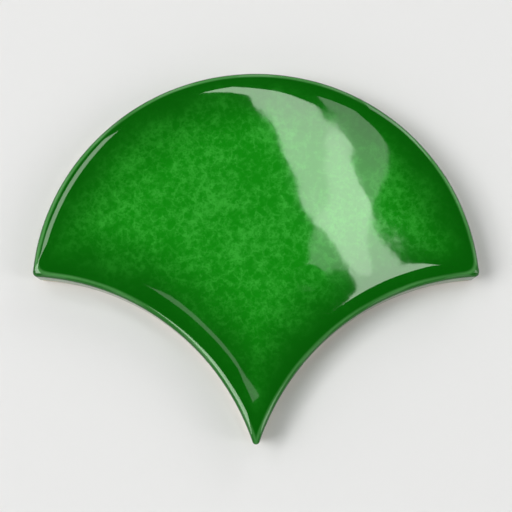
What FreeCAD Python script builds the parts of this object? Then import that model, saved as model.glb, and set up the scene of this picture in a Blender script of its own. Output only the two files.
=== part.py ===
"""One glazed fish scale tile: a round-topped scallop with two coved flanks that meet in a point.

The tile is laid in offset rows. Its round top is a half circle about a point of the laying grid, and
each flank keeps an even gap to a tile of the row below, so that every tile nests on the two under it.
It lies on its keyed back with the glazed face up: +Z out of the face, +X across, the point towards -Y.
The origin is the centre of the round top, on the plane of the back. Millimetres and degrees.
"""

import FreeCAD, Part
import math
import os

import Sketcher

NODE = "fish_scale_tile"

# Driving dimensions, each written once.
SIZES = {
    "module_width": 76.2,     # centre to centre of neighbouring tiles in a row; rows rise by half of it
    "joint_width": 3.2,       # even gap that two neighbouring tiles keep
    "thickness": 6.4,         # back plane to the flat of the face
    "shoulder_width": 4.5,    # rim of the face that rolls off, from the outline to the flat
    "shoulder_slope": 17.0,   # steepest slope of the roll-off, where it meets the edge round
    "edge_round": 0.8,        # radius between the roll-off and the wall
    "corner_round": 0.8,      # plan radius of the two side corners, at the wall
    "point_round": 0.6,       # plan radius of the point, at the wall
    "field_corner": 8.0,      # plan radius of the side corners, at the flat of the face
    "field_point": 4.5,       # plan radius of the point, at the flat of the face
    "wall_draft": 2.0,        # the walls lean in towards the back, so that the tile leaves its die
    "back_bevel": 0.3,        # chamfer round the back
    "key_depth": 0.5,         # grooves that key the back into its adhesive
    "key_width": 2.8,         # groove at the plane of the back
    "key_rib": 3.2,           # land between two grooves
    "key_margin": 4.0,        # plain land kept round the grooves
    "key_draft": 20.0,        # lean of the groove walls
}

STEPS = (1 / 3, 2 / 3, 1.0)  # sections through the edge round, and again over the shoulder
SHOULDER_POWER = 3           # the shoulder is a cubic, so that it comes level and uncurved at the flat
KEY_SHORTEST = 1             # a groove whose ends lie nearer the middle than this many radii is left out

# How a sketch numbers the points of a curve, and its own origin.
START, END, MIDDLE = range(1, 4)
ORIGIN = (-1, START)

doc = FreeCAD.newDocument("FishScaleTile")
sheet = doc.addObject("Spreadsheet::Sheet", "Sizes")
for row, (alias, size) in enumerate(SIZES.items(), start=1):
    sheet.set(f"A{row}", alias)
    sheet.set(f"B{row}", str(size))
    sheet.setAlias(f"B{row}", alias)
lines = doc.addObject("App::VarSet", "Lines")
doc.recompute()


def derive(name, expression):
    """Keeps a value that follows from the sheet under a name, and gives the reference that binds to it."""
    lines.addProperty("App::PropertyFloat", name, "Worked out")
    lines.setExpression(name, expression)
    lines.recompute()
    return f"Lines.{name}"


def number(reference):
    """What a worked-out value comes to."""
    return getattr(lines, reference.removeprefix("Lines."))


# The laying pattern: half a module is the grid, and the radius of the middle line of the gap.
GRID = derive("grid", "Sizes.module_width / 2")
TOP_RADIUS = derive("top_radius", f"{GRID} - Sizes.joint_width / 2")
COVE_RADIUS = derive("cove_radius", f"{GRID} + Sizes.joint_width / 2")

# The section of the rim: a round of the wall's edge, then the shoulder up to the flat.
ROUND_TURN = derive("round_turn", "90 - Sizes.shoulder_slope")
ROUND_INSET = derive("round_inset", f"Sizes.edge_round * (1 - cos({ROUND_TURN}))")
SHOULDER_RUN = derive("shoulder_run", f"Sizes.shoulder_width - {ROUND_INSET}")
SHOULDER_DROP = derive("shoulder_drop", f"{SHOULDER_RUN} * tan(Sizes.shoulder_slope) / {SHOULDER_POWER}")
WALL_TOP = derive("wall_top", f"Sizes.thickness - {SHOULDER_DROP} - Sizes.edge_round * sin({ROUND_TURN})")
WALL_LEAN = derive("wall_lean", f"({WALL_TOP} - Sizes.back_bevel) * tan(Sizes.wall_draft)")

KEY_PITCH = derive("key_pitch", "Sizes.key_width + Sizes.key_rib")
KEY_RADIUS = derive("key_radius", "Sizes.key_width / 2")


# Steps up the tile's rim: inset from the outline, height, and how far the corners have softened, where
# 0 is the rounding at the wall and 1 the rounding at the flat.


def wall_steps():
    """The back, the top of its bevel and the top of the wall."""
    return [
        (f"{WALL_LEAN} + Sizes.back_bevel", "0", "0"),
        (WALL_LEAN, "Sizes.back_bevel", "0"),
        ("0", WALL_TOP, "0"),
    ]


def round_steps():
    """From the wall through the turn of the edge round."""
    for share in STEPS:
        turn = f"({share} * {ROUND_TURN})"
        inset = f"Sizes.edge_round * (1 - cos({turn}))"
        yield inset, f"{WALL_TOP} + Sizes.edge_round * sin({turn})", f"({inset}) / Sizes.shoulder_width"


def shoulder_steps():
    """From the edge round over the shoulder up to the flat."""
    for share in STEPS:
        inset = f"{ROUND_INSET} + {share} * {SHOULDER_RUN}"
        height = f"Sizes.thickness - {SHOULDER_DROP} * {(1 - share) ** SHOULDER_POWER}"
        yield inset, height, f"({inset}) / Sizes.shoulder_width"


def origin_plane(body, role):
    """One of a body's own origin planes."""
    return next(f for f in body.Origin.OriginFeatures if f.Role == role)


def flat_sketch(body, name, height):
    """An empty sketch of the body, level, at a height above the back."""
    sketch = body.newObject("Sketcher::SketchObject", name)
    sketch.AttachmentSupport = [(origin_plane(body, "XY_Plane"), "")]
    sketch.MapMode = "FlatFace"
    sketch.setExpression("AttachmentOffset.Base.z", height)
    return sketch


def arc(centre, radius, start, end):
    """An arc that runs counter-clockwise from the point start to the point end."""
    angles = [math.atan2(p.y - centre.y, p.x - centre.x) for p in (start, end)]
    return Part.ArcOfCircle(Part.Circle(centre, FreeCAD.Vector(0, 0, 1), radius), *angles)


def toward(origin, target, distance):
    """The point at a distance from origin, on the line to target."""
    return origin + (target - origin).normalize() * distance


def mirrored(p):
    """The same point on the tile's left half."""
    return FreeCAD.Vector(-p.x, p.y, p.z)


def circles_meet(centre, radius, other, other_radius):
    """Where two circles meet, on the left of the line from the first centre to the other."""
    line = other - centre
    gap = line.Length
    along = (radius**2 - other_radius**2 + gap**2) / (2 * gap)
    aside = math.sqrt(radius**2 - along**2)
    return centre + line * (along / gap) + FreeCAD.Vector(-line.y, line.x, 0) * (aside / gap)


def drive(sketch, constraint, expression):
    """Adds a dimension to a sketch and binds it to an expression on the sheet."""
    index = sketch.addConstraint(constraint)
    sketch.setExpression(f"Constraints[{index}]", expression)


def softened(wall_round, field_round, softness):
    """A rounding between the one at the wall and the one at the flat."""
    return f"Sizes.{wall_round} + (Sizes.{field_round} - Sizes.{wall_round}) * {softness}"


def scallop_sketch(body, name, inset, height, softness):
    """The tile's outline, taken in by inset, with its two corners and its point rounded."""
    sketch = flat_sketch(body, name, height)
    top_radius = derive(f"{name}_top", f"{TOP_RADIUS} - ({inset})")
    cove_radius = derive(f"{name}_cove", f"{COVE_RADIUS} + ({inset})")
    corner_radius = derive(f"{name}_corner", softened("corner_round", "field_corner", softness))
    point_radius = derive(f"{name}_point", softened("point_round", "field_point", softness))
    grid, top, cove = number(GRID), number(top_radius), number(cove_radius)
    corner_r, point_r = number(corner_radius), number(point_radius)

    # Centres of the arcs, and the points where they meet, on the right half.
    crown_centre = FreeCAD.Vector(0, 0, 0)
    cove_centre = FreeCAD.Vector(grid, -grid, 0)
    corner_centre = circles_meet(crown_centre, top - corner_r, cove_centre, cove + corner_r)
    tip_centre = FreeCAD.Vector(0, -grid + math.sqrt((cove + point_r) ** 2 - grid**2), 0)
    on_top = toward(crown_centre, corner_centre, top)
    on_cove = toward(cove_centre, corner_centre, cove)
    on_tip = toward(cove_centre, tip_centre, cove)

    arcs = [
        (arc(crown_centre, top, on_top, mirrored(on_top)), top_radius),
        (arc(mirrored(corner_centre), corner_r, mirrored(on_top), mirrored(on_cove)), corner_radius),
        (arc(mirrored(cove_centre), cove, mirrored(on_tip), mirrored(on_cove)), cove_radius),
        (arc(tip_centre, point_r, mirrored(on_tip), on_tip), point_radius),
        (arc(cove_centre, cove, on_cove, on_tip), cove_radius),
        (arc(corner_centre, corner_r, on_cove, on_top), corner_radius),
    ]
    crown, left_corner, left_cove, tip, right_cove, right_corner = (
        sketch.addGeometry(curve, False) for curve, _ in arcs
    )
    for joined in (
        (crown, END, left_corner, START),
        (left_corner, END, left_cove, END),
        (left_cove, START, tip, START),
        (tip, END, right_cove, END),
        (right_cove, START, right_corner, START),
        (right_corner, END, crown, START),
    ):
        sketch.addConstraint(Sketcher.Constraint("Tangent", *joined))
    for index, (curve, radius) in enumerate(arcs):
        drive(sketch, Sketcher.Constraint("Radius", index, curve.Radius), radius)
    sketch.addConstraint(Sketcher.Constraint("Coincident", crown, MIDDLE, *ORIGIN))
    drive(sketch, Sketcher.Constraint("DistanceX", *ORIGIN, right_cove, MIDDLE, grid), GRID)
    drive(sketch, Sketcher.Constraint("DistanceX", left_cove, MIDDLE, *ORIGIN, grid), GRID)
    for cove_arc in (left_cove, right_cove):
        drive(sketch, Sketcher.Constraint("DistanceY", cove_arc, MIDDLE, *ORIGIN, grid), GRID)
    return sketch


def sections(body, name, steps):
    """One outline for each step up the rim."""
    return [scallop_sketch(body, f"{name}{n}", *step) for n, step in enumerate(steps)]


def groove_end(name, y):
    """How far out the centre of a groove's round end lies, with the plain land kept round the grooves."""
    upper, lower = f"({y} + {KEY_RADIUS})", f"({y} - {KEY_RADIUS})"
    crown = f"sqrt(max(0; ({TOP_RADIUS} - Sizes.key_margin)^2 - {upper}^2))"
    cove = f"sqrt(max(0; ({COVE_RADIUS} + Sizes.key_margin)^2 - ({lower} + {GRID})^2))"
    return derive(name, f"min({crown}; {GRID} - {cove}) - {KEY_RADIUS}")


def groove(sketch, end_x, end_y):
    """One level, round-ended groove of a sketch, the same length to both sides of the middle line."""
    radius = number(KEY_RADIUS)
    end, rise = FreeCAD.Vector(number(end_x), number(end_y), 0), FreeCAD.Vector(0, radius, 0)
    right = sketch.addGeometry(arc(end, radius, end - rise, end + rise), False)
    left = sketch.addGeometry(arc(mirrored(end), radius, mirrored(end + rise), mirrored(end - rise)), False)
    upper = sketch.addGeometry(Part.LineSegment(end + rise, mirrored(end + rise)), False)
    lower = sketch.addGeometry(Part.LineSegment(mirrored(end - rise), end - rise), False)
    for joined in (
        (right, END, upper, START),
        (upper, END, left, START),
        (left, END, lower, START),
        (lower, END, right, START),
    ):
        sketch.addConstraint(Sketcher.Constraint("Tangent", *joined))
    sketch.addConstraint(Sketcher.Constraint("Horizontal", upper))
    drive(sketch, Sketcher.Constraint("Radius", right, radius), KEY_RADIUS)
    drive(sketch, Sketcher.Constraint("DistanceX", *ORIGIN, right, MIDDLE, end.x), end_x)
    drive(sketch, Sketcher.Constraint("DistanceX", left, MIDDLE, *ORIGIN, end.x), end_x)
    drive(sketch, Sketcher.Constraint("DistanceY", *ORIGIN, right, MIDDLE, end.y), end_y)


def groove_sketch(body):
    """Grooves a pitch apart over the whole back, with a rib on its middle line."""
    sketch = flat_sketch(body, "KeyGrooves", "0")
    rows = math.ceil(number(TOP_RADIUS) / number(KEY_PITCH))
    for n in range(2 * rows):
        end_y = derive(f"groove{n}_y", f"{n - rows + 0.5} * {KEY_PITCH}")
        end_x = groove_end(f"groove{n}_x", end_y)
        if number(end_x) > KEY_SHORTEST * number(KEY_RADIUS):
            groove(sketch, end_x, end_y)
    return sketch


def loft(body, name, sections, ruled):
    """A solid through level sections, straight or smooth between them."""
    feature = body.newObject("PartDesign::AdditiveLoft", name)
    feature.Profile = sections[0]
    feature.Sections = sections[1:]
    feature.Ruled = ruled
    doc.recompute()
    return feature


def cut_grooves(body, solid):
    """Cuts the grooves up into the back, narrower towards their floors."""
    pocket = body.newObject("PartDesign::Pocket", "Keys")
    pocket.Profile = groove_sketch(body)
    pocket.Reversed = True
    pocket.setExpression("Length", "Sizes.key_depth")
    pocket.setExpression("TaperAngle", "-Sizes.key_draft")
    doc.recompute()
    if pocket.Shape.Volume >= solid.Shape.Volume:
        raise RuntimeError("the key grooves cut nothing")


body = doc.addObject("PartDesign::Body", "Tile")
body.Label = NODE
wall = sections(body, "WallLine", wall_steps())
edge = wall[-1:] + sections(body, "EdgeLine", round_steps())
shoulder = edge[-1:] + sections(body, "ShoulderLine", shoulder_steps())
loft(body, "Wall", wall, ruled=True)
loft(body, "EdgeRound", edge, ruled=False)
cut_grooves(body, loft(body, "Shoulder", shoulder, ruled=False))

for item in doc.Objects:
    if {"Invalid", "Error"} & set(item.State):
        raise RuntimeError(f"{item.Name} failed: {item.State}")
tile = body.Shape
if tile.isNull() or not tile.isValid():
    raise RuntimeError(f"{body.Label} has no valid shape")
print(body.Label, "solids", len(tile.Solids), "faces", len(tile.Faces), "volume", round(tile.Volume, 1))

os.makedirs("parts", exist_ok=True)
tile.exportStep(f"parts/{body.Label}.step")
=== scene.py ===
# %% [markdown]
# # A glazed fish scale tile
#
# The object is one tile: pressed clay, fired, with a green glaze on its face. Laid in offset rows, such
# tiles look like the scales of a fish. This one lies on its back, alone, on a pale table, and the camera
# looks down on it from the side of its point.
#
# The lesson builds the tile with Geometry Nodes, because its shape follows a rule that fits in a few
# formulas. Then it makes the two finishes, the glaze and the bare clay, and sets the table, the camera
# and the lamps.

# %% Load the frame
import math

import bpy
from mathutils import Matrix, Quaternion, Vector


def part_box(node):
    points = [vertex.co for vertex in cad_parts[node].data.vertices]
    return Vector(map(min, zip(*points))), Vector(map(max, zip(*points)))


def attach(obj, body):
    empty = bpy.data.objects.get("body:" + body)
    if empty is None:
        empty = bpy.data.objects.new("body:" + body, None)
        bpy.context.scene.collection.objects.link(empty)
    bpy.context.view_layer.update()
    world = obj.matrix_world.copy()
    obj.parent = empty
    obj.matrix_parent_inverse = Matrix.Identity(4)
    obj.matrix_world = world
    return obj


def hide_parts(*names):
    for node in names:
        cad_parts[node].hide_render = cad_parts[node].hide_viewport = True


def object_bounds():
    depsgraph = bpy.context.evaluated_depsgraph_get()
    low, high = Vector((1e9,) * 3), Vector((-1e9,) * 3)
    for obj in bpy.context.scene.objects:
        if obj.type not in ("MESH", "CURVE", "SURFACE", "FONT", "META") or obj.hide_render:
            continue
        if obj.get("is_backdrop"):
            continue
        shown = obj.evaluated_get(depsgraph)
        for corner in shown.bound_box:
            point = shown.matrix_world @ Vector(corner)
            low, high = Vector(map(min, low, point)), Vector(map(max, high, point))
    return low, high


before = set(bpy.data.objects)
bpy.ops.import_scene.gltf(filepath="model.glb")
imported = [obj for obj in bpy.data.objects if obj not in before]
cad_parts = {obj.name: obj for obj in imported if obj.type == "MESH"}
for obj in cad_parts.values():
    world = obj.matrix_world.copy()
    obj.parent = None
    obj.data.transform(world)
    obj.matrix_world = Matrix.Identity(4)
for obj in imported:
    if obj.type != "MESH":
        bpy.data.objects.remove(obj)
cad_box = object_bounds()
NODE = "fish_scale_tile"
MM = 0.001
low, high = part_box(NODE)
print("frame box, mm", [round(x / MM, 2) for x in (*low, *high)])

# %% [markdown]
# ## Formulas as nodes
#
# A node tree is a formula drawn as boxes and wires. Made box by box in code, it would hide the formula.
# So a small class stands for a value on its way through a tree: writing `a + b * c` with such values
# makes the Math nodes and wires them. `add` makes any other node and fills in its inputs by name.

# %% Values on their way through a tree
class Field:
    """An output of a node, which can be reckoned with like a number."""

    def __init__(self, socket):
        self.socket = socket
        self.tree = socket.id_data

    def beside(self, output):
        """Another output of the same node."""
        return Field(self.socket.node.outputs[output])

    def __add__(self, other):
        return maths("ADD", self, other)

    def __radd__(self, other):
        return maths("ADD", other, self)

    def __sub__(self, other):
        return maths("SUBTRACT", self, other)

    def __rsub__(self, other):
        return maths("SUBTRACT", other, self)

    def __mul__(self, other):
        return maths("MULTIPLY", self, other)

    def __rmul__(self, other):
        return maths("MULTIPLY", other, self)

    def __truediv__(self, other):
        return maths("DIVIDE", self, other)

    def __neg__(self):
        return maths("MULTIPLY", self, -1.0)

    def __gt__(self, other):
        return maths("GREATER_THAN", self, other)


# %% Nodes and wires
def wire(value, socket):
    """Links a field, or each of a list of fields, to a socket, or sets a plain value on it."""
    if isinstance(value, list):
        for item in value:
            wire(item, socket)
    elif isinstance(value, Field):
        socket.id_data.links.new(value.socket, socket)
    else:
        socket.default_value = value


def fill(node, inputs):
    """Wires a node's inputs by name or number."""
    for name, value in inputs.items():
        wire(value, node.inputs[name])


def add(tree, kind, inputs=None, output=0, **settings):
    """Adds a node with its settings and inputs, and gives one of its outputs."""
    made = tree.nodes.new(kind)
    for name, setting in settings.items():
        setattr(made, name, setting)
    fill(made, inputs or {})
    return Field(made.outputs[output])


def maths(operation, *values):
    """A Math node on fields and plain numbers."""
    tree = next(value.tree for value in values if isinstance(value, Field))
    return add(tree, "ShaderNodeMath", dict(enumerate(values)), operation=operation)


# %% Formulas that come up again and again
def squared(value):
    return value * value


def root(value):
    return maths("SQRT", value)


def sine(angle):
    return maths("SINE", angle)


def cosine(angle):
    return maths("COSINE", angle)


def tangent(angle):
    return maths("TANGENT", angle)


def angle_of(x, y):
    return maths("ARCTAN2", y, x)


def least(value, other):
    return maths("MINIMUM", value, other)


def most(value, other):
    return maths("MAXIMUM", value, other)


def nearest(value):
    """The nearest whole number."""
    return maths("ROUND", value)


def clamp(value):
    """Held between 0 and 1."""
    return add(value.tree, "ShaderNodeClamp", {"Value": value})


def ramp(value, start, end):
    """0 up to the start, 1 from the end on, and a soft rise between them."""
    share = clamp((value - start) / (end - start))
    return squared(share) * (3.0 - 2.0 * share)


# %% Points and noise
def vector(tree, x, y, z=0.0):
    return add(tree, "ShaderNodeCombineXYZ", {"X": x, "Y": y, "Z": z})


def parts_of(point):
    """The X, Y and Z of a point."""
    x = add(point.tree, "ShaderNodeSeparateXYZ", {"Vector": point})
    return x, x.beside("Y"), x.beside("Z")


def plus(*points):
    """The sum of points."""
    total = points[0]
    for other in points[1:]:
        total = add(total.tree, "ShaderNodeVectorMath", {0: total, 1: other}, operation="ADD")
    return total


def scaled(point, factor):
    return add(point.tree, "ShaderNodeVectorMath", {0: point, "Scale": factor}, operation="SCALE")


def noise(point, size, seed, detail=1.0, grit=0.5):
    """Smooth noise from -1 to 1 with lumps of about a size; grit strengthens its fine detail."""
    lumps = {"Vector": point, "W": seed, "Scale": 1 / size, "Detail": detail, "Roughness": grit}
    return add(point.tree, "ShaderNodeTexNoise", lumps, noise_dimensions="4D") * 2.0 - 1.0


# %% Trees with named inputs
def new_tree(name, inputs, sizes):
    """A Geometry Nodes tree and its inputs as fields: those of given kinds, then one for each size."""
    tree = bpy.data.node_groups.new(name, "GeometryNodeTree")
    for label, kind in inputs.items():
        tree.interface.new_socket(label, in_out="INPUT", socket_type=f"NodeSocket{kind}")
    for label, size in sizes.items():
        socket = tree.interface.new_socket(label, in_out="INPUT", socket_type="NodeSocketFloat")
        socket.default_value = size
    source = tree.nodes.new("NodeGroupInput")
    return tree, {label: Field(source.outputs[label]) for label in (*inputs, *sizes)}


def give(tree, label, kind, result):
    """Ends a tree with its one output."""
    tree.interface.new_socket(label, in_out="OUTPUT", socket_type=f"NodeSocket{kind}")
    sink = tree.nodes.new("NodeGroupOutput")
    wire(result, sink.inputs[label])
    print(f"{tree.name}: {len(tree.nodes)} nodes")
    return tree


def use(tree, group, values):
    """Another tree as one node of this one, which takes the values that it has inputs for."""
    made = tree.nodes.new("GeometryNodeGroup")
    made.node_tree = group
    fill(made, {socket.name: values[socket.name] for socket in made.inputs})
    return Field(made.outputs[0])


def here(tree):
    """The place of the point that a Geometry Nodes tree is working on."""
    return add(tree, "GeometryNodeInputPosition")


def moved(geometry, **places):
    """Moves points of a geometry to a Position or by an Offset; a Selection may pick them out."""
    return add(geometry.tree, "GeometryNodeSetPosition", {"Geometry": geometry, **places})


# %% [markdown]
# ## The line of the scallop
#
# Seen from above, the tile is six arcs: the round top, a small arc at each side corner, the two coves and
# a small arc at the point. The pattern gives their radii. The module is the step from one tile to the
# next in a row, and the joint is the gap that they keep. Half of the module is the grid: the round top is
# a circle about a point of that grid, and each cove follows the circle of a tile in the row below.
#
# A hand would draw the arcs with compasses, and so does this tree. Its output is the point of the outline
# at a given place: 0 at the point, 1 at the right corner, 2 at the middle of the round top, 3 at the left
# corner and 4 at the point again. With an inset the same compasses give a smaller tile, and softness
# opens the corners on the way from the wall to the flat of the face. So one tree draws every level of the
# rim.

# %% Sizes of the outline
OUTLINE = {
    "Module": 76.2 * MM,
    "Joint": 3.2 * MM,
    "Corner Round": 0.8 * MM,    # plan radius of the side corners at the wall
    "Point Round": 0.6 * MM,     # plan radius of the point at the wall
    "Field Corner": 8.0 * MM,    # the same two, where the flat of the face begins
    "Field Point": 4.5 * MM,
}
TIP_SHARE = 0.06       # share of a side's columns that turn round the point
CORNER_SHARE = 0.10    # share of a side's columns on each half of a corner
DOWN, UP = -math.pi / 2, math.pi / 2
print("module and joint, mm", [round(OUTLINE[label] / MM, 1) for label in ("Module", "Joint")])


# %% The scallop line as a tree
def scallop_tree():
    kinds = {"Place": "Float", "Inset": "Float", "Softness": "Float"}
    tree, given = new_tree("Scallop line", kinds, OUTLINE)
    place, softness = given["Place"], given["Softness"]
    grid = given["Module"] / 2.0
    top = grid - given["Joint"] / 2.0 - given["Inset"]
    cove = grid + given["Joint"] / 2.0 + given["Inset"]
    corner = given["Corner Round"] + (given["Field Corner"] - given["Corner Round"]) * softness
    tip = given["Point Round"] + (given["Field Point"] - given["Point Round"]) * softness

    # The corner's arc touches the round top from inside and the cove from outside.
    apart = grid * math.sqrt(2)
    along = (squared(top - corner) - squared(cove + corner) + squared(apart)) / (apart * 2.0)
    aside = root(squared(top - corner) - squared(along))
    corner_x = (aside + along) / math.sqrt(2)
    corner_y = (aside - along) / math.sqrt(2)
    tip_y = root(squared(cove + tip) - squared(grid)) - grid

    # Only the right half is drawn; the left half is its mirror image.
    half = maths("PINGPONG", place, 2.0)
    side = 1.0 - (place > 2.0) * 2.0
    breaks = (0.0, TIP_SHARE, 1 - CORNER_SHARE, 1 + CORNER_SHARE, 2.0)
    shares = [clamp((half - start) / (end - start)) for start, end in zip(breaks, breaks[1:])]
    tip_to = angle_of(grid, -(grid + tip_y))
    cove_from = angle_of(-grid, grid + tip_y)
    cove_to = angle_of(corner_x - grid, grid + corner_y)
    corner_from = angle_of(grid - corner_x, -(grid + corner_y))
    crown_from = angle_of(corner_x, corner_y)
    arcs = [
        (0.0, tip_y, tip, DOWN + (tip_to - DOWN) * shares[0]),
        (grid, -grid, cove, cove_from + (cove_to - cove_from) * shares[1]),
        (corner_x, corner_y, corner, corner_from + (crown_from - corner_from) * shares[2]),
        (0.0, 0.0, top, crown_from + (UP - crown_from) * shares[3]),
    ]
    now = arcs[0]
    for start, following in zip(breaks[1:], arcs[1:]):
        passed = half > start
        now = [old + (new - old) * passed for old, new in zip(now, following)]
    centre_x, centre_y, radius, turn = now
    point = vector(tree, side * (centre_x + radius * cosine(turn)), centre_y + radius * sine(turn))
    return give(tree, "Point", "Vector", point)


SCALLOP = scallop_tree()


def scallop_point(tree, given, place, inset, softness):
    """The scallop line in use: the point of the outline at a place."""
    return use(tree, SCALLOP, given | {"Place": place, "Inset": inset, "Softness": softness})


# %% [markdown]
# ## Wall and rim
#
# The rim is a ribbon that runs round the tile. Each of its rows is a scallop line with its own inset and
# height: up over the bevel of the back, up the bare wall, over the lip of the glaze, up the glazed wall,
# through the edge round and over the shoulder to the flat. Walking up row by row, each stretch adds its
# share of height and inset and then stays at its full amount, so the whole section is one sum.
#
# The glaze is a skin that has flowed and frozen. It stops on the wall in an uneven line, with a rounded
# lip, and leaves the lower wall and the back bare.
#
# A sweep of a profile along the outline would be the other way. It can't open the corners on the way in,
# and at the point it would cross itself.

# %% Sizes of the rim
SECTION = {
    "Thickness": 6.4 * MM,
    "Shoulder Width": 4.5 * MM,            # rim of the face that rolls off
    "Shoulder Slope": math.radians(17),    # its steepest slope, next to the edge round
    "Edge Round": 0.8 * MM,
    "Wall Draft": math.radians(2),         # the walls lean in towards the back
    "Back Bevel": 0.3 * MM,
}
GLAZE_EDGE = {
    "Glaze Line": 1.5 * MM,         # mean height of the glaze's lower edge above the back
    "Glaze Line Sway": 1.1 * MM,    # how far that edge wanders
    "Glaze Skin": 0.16 * MM,        # how far the glaze stands proud of the bare wall
    "Glaze Lip": 0.3 * MM,          # height of its rounded lower lip
    "Wobble": 0.05 * MM,            # the outline of a pressed tile is never quite true
}
SHOULDER_POWER = 3                  # the shoulder is a cubic, so that it comes level at the flat
LINE_SIZE, LINE_SEED = 9 * MM, 7.7
WOBBLE_SIZE, WOBBLE_SEED = 11 * MM, 3.1

SIDE_COLUMNS = 180                  # columns of the mesh on each of the four sides
STRETCHES = {"bevel": 1, "bare": 6, "lip": 5, "wall": 7, "round": 10, "shoulder": 16}
FIRST_ROW = {name: sum(list(STRETCHES.values())[:n]) for n, name in enumerate(STRETCHES)}
LAST_ROW = sum(STRETCHES.values())
print("rows of the rim", FIRST_ROW, "to", LAST_ROW)


# %% The rim as a tree
def section_of(given):
    """Turn of the edge round, run and drop of the shoulder, and height of the wall's top."""
    turn = math.pi / 2 - given["Shoulder Slope"]
    run = given["Shoulder Width"] - given["Edge Round"] * (1.0 - cosine(turn))
    drop = run * tangent(given["Shoulder Slope"]) / SHOULDER_POWER
    return turn, run, drop, given["Thickness"] - drop - given["Edge Round"] * sine(turn)


def rim_tree():
    kinds = {"First Row": "Int", "Last Row": "Int"}
    tree, given = new_tree("Rim", kinds, OUTLINE | SECTION | GLAZE_EDGE)
    columns = 4 * SIDE_COLUMNS
    rows = given["Last Row"] - given["First Row"]
    grid = {"Size X": columns, "Size Y": rows, "Vertices X": columns + 1, "Vertices Y": rows + 1.0}
    ribbon = add(tree, "GeometryNodeMeshGrid", grid)
    x, y, _ = parts_of(here(tree))
    place = nearest(x + columns / 2) / SIDE_COLUMNS
    row = nearest(y + rows / 2.0) + given["First Row"]
    share = {name: clamp((row - FIRST_ROW[name]) / count) for name, count in STRETCHES.items()}

    turn, run, drop, wall_top = section_of(given)
    bevel, lip = given["Back Bevel"], given["Glaze Lip"]
    outline = scallop_point(tree, given, place, 0.0, 0.0)
    line = given["Glaze Line"] + given["Glaze Line Sway"] * noise(outline, LINE_SIZE, LINE_SEED)
    climb = bevel * share["bevel"] + (line - bevel) * share["bare"]
    climb = climb + lip * share["lip"] + (wall_top - lip - line) * share["wall"]
    turned = turn * share["round"]
    left = 1.0 - share["shoulder"]
    rolled = drop * (1.0 - maths("POWER", left, SHOULDER_POWER))
    height = climb + given["Edge Round"] * sine(turned) + rolled

    over = given["Edge Round"] * (1.0 - cosine(turned)) + run * share["shoulder"]
    lean = (wall_top - most(climb, bevel)) * tangent(given["Wall Draft"])
    skin = given["Glaze Skin"] * (1.0 - root(1.0 - squared(1.0 - share["lip"])))
    wobble = given["Wobble"] * noise(outline, WOBBLE_SIZE, WOBBLE_SEED) * left
    inset = over + lean + bevel * (1.0 - share["bevel"]) + skin + wobble
    plan = scallop_point(tree, given, place, inset, over / given["Shoulder Width"])
    rim = moved(ribbon, Position=plus(plan, vector(tree, 0.0, 0.0, height)))
    return give(tree, "Rim", "Geometry", rim)


RIM = rim_tree()

# %% [markdown]
# ## The flat of the face
#
# Inside the shoulder the face is flat, and it needs a fine even mesh, because its soft waves come later.
# A fan of triangles round a middle point would pinch the waves there. The four sides of the scallop, two
# coves and two halves of the round top, suit a blend of opposite sides instead, which is known as a Coons
# patch: a square grid whose edges lie exactly on the last row of the shoulder. Along the grid, u runs
# from the point to the right corner, and v from the point to the left one.

# %% The face as a tree
def face_tree():
    tree, given = new_tree("Face", {}, OUTLINE | SECTION)
    points = SIDE_COLUMNS + 1
    grid = {"Size X": 1.0, "Size Y": 1.0, "Vertices X": points, "Vertices Y": points}
    patch = add(tree, "GeometryNodeMeshGrid", grid)
    x, y, _ = parts_of(here(tree))
    u = nearest((x + 0.5) * SIDE_COLUMNS) / SIDE_COLUMNS
    v = nearest((y + 0.5) * SIDE_COLUMNS) / SIDE_COLUMNS

    def edge(place):
        return scallop_point(tree, given, place, given["Shoulder Width"], 1.0)

    sides = plus(
        scaled(edge(u), 1.0 - v),
        scaled(edge(3.0 - u), v),
        scaled(edge(4.0 - v), 1.0 - u),
        scaled(edge(1.0 + v), u),
    )
    corners = plus(
        scaled(edge(0.0), (1.0 - u) * (1.0 - v)),
        scaled(edge(1.0), u * (1.0 - v)),
        scaled(edge(2.0), u * v),
        scaled(edge(3.0), (1.0 - u) * v),
    )
    level = vector(tree, 0.0, 0.0, given["Thickness"])
    face = moved(patch, Position=plus(sides, scaled(corners, -1.0), level))
    return give(tree, "Face", "Geometry", face)


FACE = face_tree()

# %% [markdown]
# ## The keyed back
#
# The back is flat, with level grooves that the adhesive grips. Each groove is as long as the outline
# allows, so no two have the same length and a plain array won't do. Circles are set out on a line, one
# for each groove, and the left and right halves of each are pulled apart to the length that the formula
# gives. The same curves are used twice: as holes in the flat of the back, and as faces that are pushed in
# to become the grooves.

# %% Sizes and places of the grooves
KEYS = {
    "Key Depth": 0.5 * MM,
    "Key Width": 2.8 * MM,
    "Key Rib": 3.2 * MM,               # land between two grooves
    "Key Margin": 4.0 * MM,            # plain land kept round the grooves
    "Key Draft": math.radians(20),     # lean of the groove walls
}
KEY_SHORTEST = 1.0    # a groove whose ends lie nearer the middle than this many radii is left out
GROOVE_POINTS = 34    # points round a groove; not a multiple of 4, so that none lies on the middle line
print("groove depth and width, mm", [round(KEYS[label] / MM, 1) for label in ("Key Depth", "Key Width")])


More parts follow.
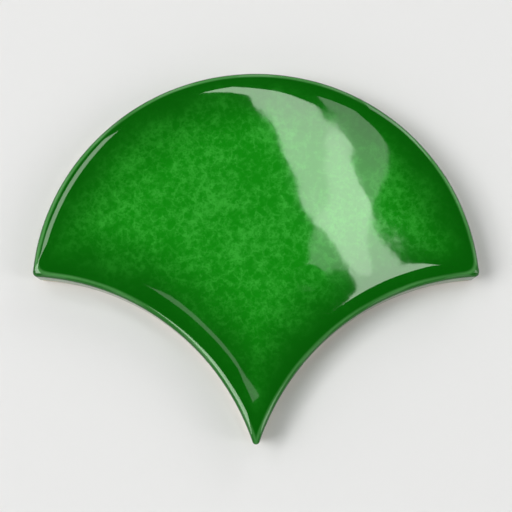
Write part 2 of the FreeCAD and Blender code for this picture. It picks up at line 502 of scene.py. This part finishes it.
def groove_places(tree, given):
    """X and Y of the right-hand end of the groove nearest to a point, and the side the point is on."""
    radius = given["Key Width"] / 2.0
    pitch = given["Key Width"] + given["Key Rib"]
    grid = given["Module"] / 2.0
    top = grid - given["Joint"] / 2.0 - given["Key Margin"]
    cove = grid + given["Joint"] / 2.0 + given["Key Margin"]
    x, y, _ = parts_of(here(tree))
    end_y = (maths("FLOOR", y / pitch) + 0.5) * pitch
    crown_x = root(most(squared(top) - squared(end_y + radius), 0.0))
    cove_x = grid - root(most(squared(cove) - squared(end_y - radius + grid), 0.0))
    return least(crown_x, cove_x) - radius, end_y, maths("SIGN", x)


def groove_curves(tree, given):
    """The grooves as closed curves: circles whose halves are pulled apart."""
    radius = given["Key Width"] / 2.0
    pitch = given["Key Width"] + given["Key Rib"]
    rows = maths("CEIL", (given["Module"] - given["Joint"]) / 2.0 / pitch)
    start = vector(tree, 0.0, (0.5 - rows) * pitch)
    column = {"Count": rows * 2.0, "Start Location": start, "Offset": vector(tree, 0.0, pitch)}
    line = add(tree, "GeometryNodeMeshLine", column)
    end_x, _, side = groove_places(tree, given)
    short = maths("LESS_THAN", end_x, radius * KEY_SHORTEST)
    kept = add(tree, "GeometryNodeDeleteGeometry", {"Geometry": line, "Selection": short})
    ends = {"Resolution": GROOVE_POINTS, "Radius": radius}
    circle = add(tree, "GeometryNodeCurvePrimitiveCircle", ends)
    circles = add(tree, "GeometryNodeInstanceOnPoints", {"Points": kept, "Instance": circle})
    real = add(tree, "GeometryNodeRealizeInstances", {"Geometry": circles})
    return moved(real, Offset=vector(tree, side * end_x, 0.0))


# %% The back as a tree
ONE_FACE = 1.5    # an edge with fewer faces than this has one, so the mesh is open there


def filled_down(curves):
    """Faces that fill closed curves and look down."""
    faces = add(curves.tree, "GeometryNodeFillCurve", {"Curve": curves}, mode="NGONS")
    return add(curves.tree, "GeometryNodeFlipFaces", {"Mesh": faces})


def pushed_in(tree, given, curves):
    """The grooves as faces pushed up into the back, narrower towards their floors."""
    depth = {"Mesh": filled_down(curves), "Offset Scale": -given["Key Depth"], "Individual": True}
    grooves = add(tree, "GeometryNodeExtrudeMesh", depth, output="Mesh")
    end_x, end_y, side = groove_places(tree, given)
    x, y, _ = parts_of(here(tree))
    narrowing = given["Key Depth"] * tangent(given["Key Draft"]) / (given["Key Width"] / 2.0)
    inward = vector(tree, (side * end_x - x) * narrowing, (end_y - y) * narrowing)
    return moved(grooves, Selection=grooves.beside("Top"), Offset=inward)


def back_tree():
    tree, given = new_tree("Keyed back", {"Rim": "Geometry"}, OUTLINE | KEYS)
    curves = groove_curves(tree, given)
    faces = add(tree, "GeometryNodeInputMeshEdgeNeighbors")
    open_edge = maths("LESS_THAN", faces, ONE_FACE)
    edge = add(tree, "GeometryNodeMeshToCurve", {"Mesh": given["Rim"], "Selection": open_edge})
    both = add(tree, "GeometryNodeJoinGeometry", {"Geometry": [edge, curves]})
    pieces = [filled_down(both), pushed_in(tree, given, curves)]
    back = add(tree, "GeometryNodeJoinGeometry", {"Geometry": pieces})
    return give(tree, "Back", "Geometry", back)


BACK = back_tree()

# %% [markdown]
# ## Two finishes on one piece
#
# The glaze is coloured glass. Where it has pooled along the rim it is clear and deep. Over the flat it
# lies thin, paler and powdery, and shows tiny bubbles and specks of undissolved colour. A fine pale line
# just inside the outline is a painted highlight: it stands in for the light that the rolled edge mirrors,
# so that the line shows from every side. A single green would miss all of that, so the colour is built
# from the distance to the outline, soft clouds, a fine speckle and that painted line. The rest of the
# gloss comes from the shader: a low roughness, and a faint ripple of the surface that makes the edges of
# reflections waver.
#
# Both finishes read the object's own coordinates. The distance to the outline is an attribute that the
# tile's tree stores on the mesh.

# %% Helpers for materials
def new_material(name):
    """A new material and its shader."""
    material = bpy.data.materials.new(name)
    material.use_nodes = True
    return material, material.node_tree.nodes["Principled BSDF"]


def rgba(colour):
    """A field as it is, or plain linear red, green and blue with their alpha."""
    return colour if isinstance(colour, Field) else (*colour, 1.0)


def blend(share, low_colour, high_colour):
    """A mix of two colours."""
    mix = add(share.tree, "ShaderNodeMix", data_type="RGBA").socket.node
    colours = [socket for socket in mix.inputs if socket.type == "RGBA"]
    wire(share, mix.inputs["Factor"])
    wire(rgba(low_colour), colours[0])
    wire(rgba(high_colour), colours[1])
    return Field(next(socket for socket in mix.outputs if socket.type == "RGBA"))


def bump(height, distance, strength):
    relief = {"Height": height, "Distance": distance, "Strength": strength}
    return add(height.tree, "ShaderNodeBump", relief)


# %% Pooled and thin glaze
RIM_ATTRIBUTE = "rim_distance"
DEEP_GREEN = (0.0004, 0.108, 0.0004)          # pooled along the rim
FIELD_GREEN = (0.0040, 0.255, 0.0035)         # thin over the flat
POOL_START, POOL_END = 0.6 * MM, 13.6 * MM    # the pooled glaze thins out between these distances
POOL_SWAY = 2.2 * MM                          # how far the clouds push that about


def thinness(rim, clouds):
    """0 where the glaze has pooled along the rim, 1 where it lies thin over the flat."""
    return ramp(rim + POOL_SWAY * clouds, POOL_START, POOL_END)


# %% Powder in the thin glaze
POWDER_GREEN = (0.045, 0.440, 0.040)       # specks and bubbles
POWDER_SHOWS = 0.75                        # how much of that colour comes through at most
SPECK, SPECK_WEIGHT = 1.3 * MM, 1.3        # size of the specks, and their weight in the powder
THREAD, THREAD_WEIGHT = 2.1 * MM, 0.35     # the same for the threads between them
THREAD_WIDTH = 0.16                        # a thread runs where its noise is nearer to 0 than this
CLOUD_WEIGHT, PATCH_WEIGHT = 0.5, 0.35
POWDER_RANGE = (-0.2, 0.9)                 # the weighted sum at which powder starts, and is full


def powderiness(point, clouds, patches):
    """How powdery thin glaze is at a point, from 0 to 1."""
    specks = noise(point, SPECK, seed=8.2, detail=6.0, grit=0.72)
    off_thread = maths("ABSOLUTE", noise(point, THREAD, seed=3.7, detail=4.0, grit=0.62))
    threads = 1.0 - ramp(off_thread, 0.0, THREAD_WIDTH)
    fine = SPECK_WEIGHT * specks + THREAD_WEIGHT * threads
    return ramp(fine + CLOUD_WEIGHT * clouds + PATCH_WEIGHT * patches, *POWDER_RANGE)


# %% Painted highlight line along the edge
# painted highlight: a pale green line along the rolled edge, standing in for the light that it mirrors
EDGE_HIGHLIGHT_GREEN = (0.150, 0.480, 0.140)
EDGE_HIGHLIGHT_SHOWS = 0.65                     # how much of that colour comes through at most
HIGHLIGHT_LINE = 0.55 * MM                 # distance of the line's middle from the outline
HIGHLIGHT_LINE_HALF = 0.42 * MM            # half its width
HIGHLIGHT_LINE_SWAY = 0.12 * MM            # how far the clouds push it about
HIGHLIGHT_MEAN, HIGHLIGHT_CHANGE = 0.65, 0.8    # its strength, and how far that changes from patch to patch


def painted_edge_highlight(rim, clouds, patches):
    """1 in the middle of the painted highlight line along the edge, 0 beside it."""
    off_line = maths("ABSOLUTE", rim - HIGHLIGHT_LINE - HIGHLIGHT_LINE_SWAY * clouds)
    return (1.0 - ramp(off_line, 0.0, HIGHLIGHT_LINE_HALF)) * clamp(HIGHLIGHT_MEAN + HIGHLIGHT_CHANGE * patches)


# %% Green glaze
CLOUD, PATCH = 5.5 * MM, 14 * MM            # sizes of the fine and broad changes of colour
GLASS_IOR = 1.52
GLOSS_TINT = (0.82, 1.0, 0.80)              # the coloured glass tints what it mirrors a little
GLOSS = 0.03                                # roughness of the clear glaze
POWDER_DULLS, CLOUDS_DULL = 0.015, 0.008    # what powder and clouds add to it
RIPPLE, FINE_RIPPLE = 3.4 * MM, 0.7 * MM    # sizes of two ripples of the surface
FINE_SHARE = 0.06                           # height of the finer one, as a share of the other's
RIPPLE_HEIGHT, RIPPLE_STRENGTH = 0.006 * MM, 0.35


def green_glaze():
    material, shader = new_material("glossy_green_glaze")
    tree = material.node_tree
    point = add(tree, "ShaderNodeTexCoord", output="Object")
    rim = add(tree, "ShaderNodeAttribute", output="Fac", attribute_name=RIM_ATTRIBUTE)
    clouds = noise(point, CLOUD, seed=1.3, detail=3.0)
    patches = noise(point, PATCH, seed=4.9)
    thin = thinness(rim, clouds)
    powder = powderiness(point, clouds, patches) * thin
    body = blend(thin, DEEP_GREEN, FIELD_GREEN)
    powdery = blend(POWDER_SHOWS * powder, body, POWDER_GREEN)
    # where the painted highlight line along the edge lies
    edge_highlight = painted_edge_highlight(rim, clouds, patches)
    fine_ripple = noise(point, FINE_RIPPLE, seed=6.6)
    ripple = noise(point, RIPPLE, seed=2.4, detail=2.0) + FINE_SHARE * fine_ripple
    looks = {
        # the base colour carries the painted highlight line along the edge
        "Base Color": blend(EDGE_HIGHLIGHT_SHOWS * edge_highlight, powdery, EDGE_HIGHLIGHT_GREEN),
        "Roughness": GLOSS + POWDER_DULLS * powder + CLOUDS_DULL * clouds,
        "Normal": bump(ripple, RIPPLE_HEIGHT, RIPPLE_STRENGTH),
        "IOR": GLASS_IOR,
        "Specular Tint": rgba(GLOSS_TINT),
    }
    fill(shader, looks)
    return material


GLAZE = green_glaze()
print(GLAZE.name, len(GLAZE.node_tree.nodes), "nodes")

# %% [markdown]
# ### The bare clay
#
# The back and the lower wall are clay without glaze: dull, grainy and pale, with warm stains from the
# kiln. A picture of clay could be laid on, but it would bring its own light and its own seams. Two noises
# are enough: a fine grain, which also roughens the surface, and broad stains.

# %% Bare clay
CLAY_PALE = (0.72, 0.64, 0.51)
CLAY_WARM = (0.57, 0.46, 0.34)
GRAIN, STAIN = 0.35 * MM, 7 * MM                         # sizes of the grain, and of the stains
EVEN_MIX, STAIN_WEIGHT, GRAIN_WEIGHT = 0.5, 0.35, 0.4    # how the warm colour is shared out
CLAY_ROUGHNESS, GRAIN_ROUGHENS = 0.86, 0.06
GRAIN_HEIGHT, GRAIN_STRENGTH = 0.03 * MM, 0.8


def bare_clay():
    material, shader = new_material("bare_clay")
    point = add(material.node_tree, "ShaderNodeTexCoord", output="Object")
    grain = noise(point, GRAIN, seed=5.1, detail=3.0)
    stain = noise(point, STAIN, seed=2.2, detail=2.0)
    warmth = ramp(EVEN_MIX + STAIN_WEIGHT * stain + GRAIN_WEIGHT * grain, 0.0, 1.0)
    looks = {
        "Base Color": blend(warmth, CLAY_PALE, CLAY_WARM),
        "Roughness": CLAY_ROUGHNESS + GRAIN_ROUGHENS * grain,
        "Normal": bump(grain, GRAIN_HEIGHT, GRAIN_STRENGTH),
    }
    fill(shader, looks)
    return material


CLAY = bare_clay()
print(CLAY.name, len(CLAY.node_tree.nodes), "nodes")

# %% [markdown]
# ## The tile, put together
#
# The last tree joins the pieces, welds their seams and lets the glaze flow: broad waves over the face,
# and a few shallow dents near the edge of the flat, where bubbles have burst and settled. Only the glaze
# moves, and it moves less towards the wall, so that the outline stays true. Then the tree stores the
# distance to the outline for the finish, and gives each face its material.
#
# The waves could be bump in the material. As real shape they also bend the outline of the face in a low
# view, and they are in the mesh for every other use of it.

# %% Waves and dents of the glaze
FLOW = {
    "Wave Height": 0.075 * MM,
    "Dent Depth": 0.018 * MM,
    "Dent Radius": 3.2 * MM,
    "Dents per Square Metre": 5200.0,
}
SEED = 17
WAVE_SIZE, WAVE_SEED = 17 * MM, 2.6
DENTS_FROM, DENTS_FULL = 2.5 * MM, 4 * MM      # distances from the outline at which the dents begin
DENTS_TO, DENTS_FEW = 6 * MM, 12 * MM          # and past which they become few
DENTS_LACKING = 0.8                            # share of them that is missing there
CORNER_BLEND = 3 * MM                          # evens the distance out where two arcs are equally near
print("waves and dents, mm", [round(FLOW[label] / MM, 3) for label in ("Wave Height", "Dent Depth")])


def outline_distance(tree, given):
    """How far inside the outline a point lies, from the circles of the pattern."""
    x, y, _ = parts_of(here(tree))
    grid = given["Module"] / 2.0
    to_crown = grid - given["Joint"] / 2.0 - root(squared(x) + squared(y))
    to_cove = root(squared(maths("ABSOLUTE", x) - grid) + squared(y + grid)) - grid - given["Joint"] / 2.0
    return maths("SMOOTH_MIN", to_crown, to_cove, CORNER_BLEND)


def glaze_flow(tree, given, face):
    """How far up the glaze stands at a point, from its waves and its dents."""
    inside = outline_distance(tree, given)
    fewer = 1.0 - DENTS_LACKING * ramp(inside, DENTS_TO, DENTS_FEW)
    density = given["Dents per Square Metre"] * (ramp(inside, DENTS_FROM, DENTS_FULL) * fewer)
    scatter = {"Mesh": face, "Density": density, "Seed": given["Seed"]}
    dents = add(tree, "GeometryNodeDistributePointsOnFaces", scatter)
    away = add(
        tree, "GeometryNodeProximity", {"Geometry": dents}, output="Distance", target_element="POINTS"
    )
    dent = 1.0 - ramp(away, 0.0, given["Dent Radius"])
    wave = noise(here(tree), WAVE_SIZE, WAVE_SEED) * ramp(inside, 0.0, given["Shoulder Width"])
    _, _, height = parts_of(here(tree))
    *_, wall_top = section_of(given)
    return (given["Wave Height"] * wave - given["Dent Depth"] * dent) * (height > wall_top)


# %% The tile as a tree
WELD = 0.002 * MM            # points nearer to each other than this become one
CREASE = math.radians(35)    # edges sharper than this stay sharp
GLAZED = "glazed"
TILE_SIZES = OUTLINE | SECTION | GLAZE_EDGE | KEYS | FLOW


def joined(*pieces):
    """Pieces made one, with their seams welded."""
    tree = pieces[0].tree
    both = add(tree, "GeometryNodeJoinGeometry", {"Geometry": list(pieces)})
    return add(tree, "GeometryNodeMergeByDistance", {"Geometry": both, "Distance": WELD})


def noted(geometry, name, value, data_type, domain):
    """Stores a value on a geometry under a name."""
    note = {"Geometry": geometry, "Name": name, "Value": value}
    return add(
        geometry.tree, "GeometryNodeStoreNamedAttribute", note, data_type=data_type, domain=domain
    )


def smooth_but_for_creases(geometry):
    """Smooth shading, with sharp edges kept."""
    tree = geometry.tree
    smooth = add(tree, "GeometryNodeSetShadeSmooth", {"Geometry": geometry, "Shade Smooth": True})
    creased = add(tree, "GeometryNodeInputMeshEdgeAngle") > CREASE
    sharp = {"Geometry": smooth, "Selection": creased, "Shade Smooth": False}
    return add(tree, "GeometryNodeSetShadeSmooth", sharp, domain="EDGE")


def tile_tree():
    tree, given = new_tree("Fish scale tile", {"Seed": "Int"}, TILE_SIZES)
    face = use(tree, FACE, given)
    bare_rim = use(tree, RIM, given | {"First Row": 0, "Last Row": FIRST_ROW["lip"]})
    glazed_rim = use(tree, RIM, given | {"First Row": FIRST_ROW["lip"], "Last Row": LAST_ROW})
    glazed = noted(joined(glazed_rim, face), GLAZED, True, "BOOLEAN", "FACE")
    open_shell = joined(bare_rim, glazed)
    back = use(tree, BACK, given | {"Rim": open_shell})
    flowed = moved(open_shell, Offset=vector(tree, 0.0, 0.0, glaze_flow(tree, given, face)))
    whole = smooth_but_for_creases(joined(flowed, back))
    whole = noted(whole, RIM_ATTRIBUTE, outline_distance(tree, given), "FLOAT", "POINT")

    real = add(tree, "GeometryNodeRealizeInstances", {"Geometry": whole})
    is_glazed = add(tree, "GeometryNodeInputNamedAttribute", {"Name": GLAZED}, data_type="BOOLEAN")
    clay = add(tree, "GeometryNodeSetMaterial", {"Geometry": real, "Material": CLAY})
    coat = {"Geometry": clay, "Selection": is_glazed, "Material": GLAZE}
    return give(tree, "Tile", "Geometry", add(tree, "GeometryNodeSetMaterial", coat))


TILE = tile_tree()


# %% The tile as a plain mesh
def plain_piece(name, tree, values):
    """Runs a tree on an empty mesh and keeps the result as a plain mesh object at the origin."""
    piece = bpy.data.objects.new(name, bpy.data.meshes.new(name))
    bpy.context.scene.collection.objects.link(piece)
    modifier = piece.modifiers.new(name, "NODES")
    modifier.node_group = tree
    sockets = {s.name: s.identifier for s in tree.interface.items_tree if s.in_out == "INPUT"}
    for label, value in values.items():
        modifier[sockets[label]] = value
    graph = bpy.context.evaluated_depsgraph_get()
    mesh = bpy.data.meshes.new_from_object(piece.evaluated_get(graph))
    piece.modifiers.clear()
    piece.data = mesh
    mesh.name = name
    while mesh.materials[0] is None:
        mesh.materials.pop(index=0)    # the grid nodes begin with an empty slot
    return piece


tile = plain_piece("glazed_fish_scale_tile", TILE, TILE_SIZES | {"Seed": SEED})
triangles = sum(len(face.vertices) - 2 for face in tile.data.polygons)
print("tile:", len(tile.data.vertices), "points,", triangles, "triangles")
print("finishes:", [material.name for material in tile.data.materials])
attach(tile, "root")
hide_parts(NODE)

# %% [markdown]
# ## Table, camera and lamps
#
# The table is a pale plain sheet. A glossy thing is seen by what it mirrors, so the lamps are placed for
# their reflections first. Two softboxes stand where the face mirrors them, and their images overlap in a
# pale band with ragged edges. A third, weaker one glints along the cove on the left. The key light and
# the strip on the right light the colour from outside the mirror direction, so that the rest of the glaze
# stays deep. They are large and stand far off, so that the table under them is lit evenly. The last two
# stand lower, behind the tile: one draws a light line on the rolled rim, the other on the sharp edge.

# %% Table
TABLE_COLOUR = (0.86, 0.86, 0.85)
TABLE_ROUGHNESS = 0.75
TABLE_REACH = 1.0
TABLE_CLEAR = 0.01 * MM    # keeps the table and the tile's back from sharing a plane


def pale_table():
    """A large level sheet under the tile."""
    square = ((-1, -1), (1, -1), (1, 1), (-1, 1))
    corners = [(x * TABLE_REACH, y * TABLE_REACH, -TABLE_CLEAR) for x, y in square]
    mesh = bpy.data.meshes.new("table")
    mesh.from_pydata(corners, [], [(0, 1, 2, 3)])
    table = bpy.data.objects.new("table", mesh)
    bpy.context.scene.collection.objects.link(table)
    material, shader = new_material("pale_table")
    fill(shader, {"Base Color": rgba(TABLE_COLOUR), "Roughness": TABLE_ROUGHNESS})
    mesh.materials.append(material)
    return table


table = pale_table()
table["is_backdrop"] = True
print("table", [round(side, 1) for side in table.dimensions], "m")

# %% Camera
VIEW_AZIMUTH, VIEW_ELEVATION = 0, 78    # degrees
LENS, SENSOR = 85.0, 36.0               # millimetres of the camera's own
NEAREST_SEEN = 0.01
FRAME_FILL = 0.86                       # share of the picture's width that the tile takes up
target = (cad_box[0] + cad_box[1]) / 2


def direction(azimuth, elevation):
    """Unit vector from the tile towards a place in the room; azimuth 0 is the side of the point."""
    around, up = math.radians(azimuth), math.radians(elevation)
    return Vector((math.sin(around) * math.cos(up), -math.cos(around) * math.cos(up), math.sin(up)))


def aim(thing, place):
    """Puts a lamp or camera at a place, looking at the tile."""
    bpy.context.scene.collection.objects.link(thing)
    thing.location = place
    thing.rotation_mode = "QUATERNION"
    thing.rotation_quaternion = (target - place).to_track_quat("-Z", "Y")


camera = bpy.data.objects.new("camera", bpy.data.cameras.new("camera"))
camera.data.lens = LENS
camera.data.sensor_width = SENSOR
camera.data.clip_start = NEAREST_SEEN
distance = (cad_box[1].x - cad_box[0].x) / FRAME_FILL * LENS / SENSOR
aim(camera, target + direction(VIEW_AZIMUTH, VIEW_ELEVATION) * distance)
bpy.context.scene.camera = camera
print("camera at", [round(c, 3) for c in camera.location], "m")


# %% Lamps
def softbox(name, azimuth, elevation, distance, size, radiance, roll=0.0):
    """A rectangular lamp that looks at the tile and is as bright as radiance, where 1 is white."""
    lamp = bpy.data.lights.new(name, "AREA")
    lamp.shape = "RECTANGLE"
    lamp.size, lamp.size_y = size
    lamp.energy = radiance * math.pi * lamp.size * lamp.size_y
    box = bpy.data.objects.new(name, lamp)
    aim(box, target + direction(azimuth, elevation) * distance)
    box.rotation_quaternion = box.rotation_quaternion @ Quaternion((0, 0, 1), math.radians(roll))
    print(name, round(lamp.energy, 2), "W")


# The two numbers after each name are its azimuth and its elevation, in degrees.
softbox("slanted_band", 168, 73, distance=2.1, size=(0.11, 1.1), radiance=7.5, roll=40)
softbox("upright_band", 163, 70, distance=2.1, size=(0.12, 0.6), radiance=2.5, roll=6)
softbox("faint_band", -142, 85, distance=2.1, size=(0.10, 0.4), radiance=1.6, roll=-6)
softbox("key_softbox", -80, 50, distance=4.8, size=(2.4, 2.4), radiance=7.2)
softbox("right_strip", 75, 38, distance=4.8, size=(1.2, 3.0), radiance=3.2)
softbox("left_rim_strip", -129, 54, distance=2.4, size=(1.0, 0.35), radiance=5.0, roll=10)
softbox("back_edge_strip", 147, 31, distance=2.4, size=(0.6, 0.9), radiance=2.8, roll=6)

# %% [markdown]
# ## The room
#
# Seen from low down, the flat of the face mirrors the walls of the room. An even light there would lie on
# the glaze like a veil and make it look dull. So a room is drawn into the world's own node tree: a pale
# wall up to the sills, a ring of tall windows, and a dim ceiling. From any side about one window shows in
# the face, and the waves of the glaze bend its edges. The pale wall is also the background of a low view.
#
# A picture of a real room would do the same, but a few formulas need no file and can be changed at will.

# %% Wall, windows and ceiling
CEILING_LIGHT = 0.07            # also that of the piers between the windows
WALL_LIGHT = 0.8
WINDOW_LIGHT = 1.2
WINDOWS = 20
PANE = (0.05, 0.35)             # soft edge between pier and pane, from -1 in a pier to 1 in a pane
SILL = (0.14, 0.16)             # soft edges of the sill and the lintel, from 0 at the horizon
LINTEL = (0.57, 0.63)           # to 1 overhead


def room_light(tree):
    """How bright the room is in each direction, where 1 is white."""
    x, y, up = parts_of(add(tree, "ShaderNodeTexCoord", output="Generated"))
    above_sill = ramp(up, *SILL)
    window = ramp(cosine(angle_of(x, y) * WINDOWS), *PANE) * above_sill * (1.0 - ramp(up, *LINTEL))
    return CEILING_LIGHT + WALL_LIGHT * (1.0 - above_sill) + WINDOW_LIGHT * window


world = bpy.data.worlds.new("studio")
bpy.context.scene.world = world
world.use_nodes = True
background = world.node_tree.nodes["Background"]
fill(background, {"Color": (1, 1, 1, 1), "Strength": room_light(world.node_tree)})
bpy.context.scene.view_settings.view_transform = "Standard"
print("room:", WINDOWS, "windows,", len(world.node_tree.nodes), "nodes")

# %% [markdown]
# ## Sizes, and the end
#
# The looks must not change the object's size, so the script prints how far the box has grown.

# %% Compare the boxes and finish
new_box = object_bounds()
grown = [(new - old) / MM for old, new in zip((*cad_box[0], *cad_box[1]), (*new_box[0], *new_box[1]))]
print("the box grows by, mm", [round(step, 3) for step in grown])
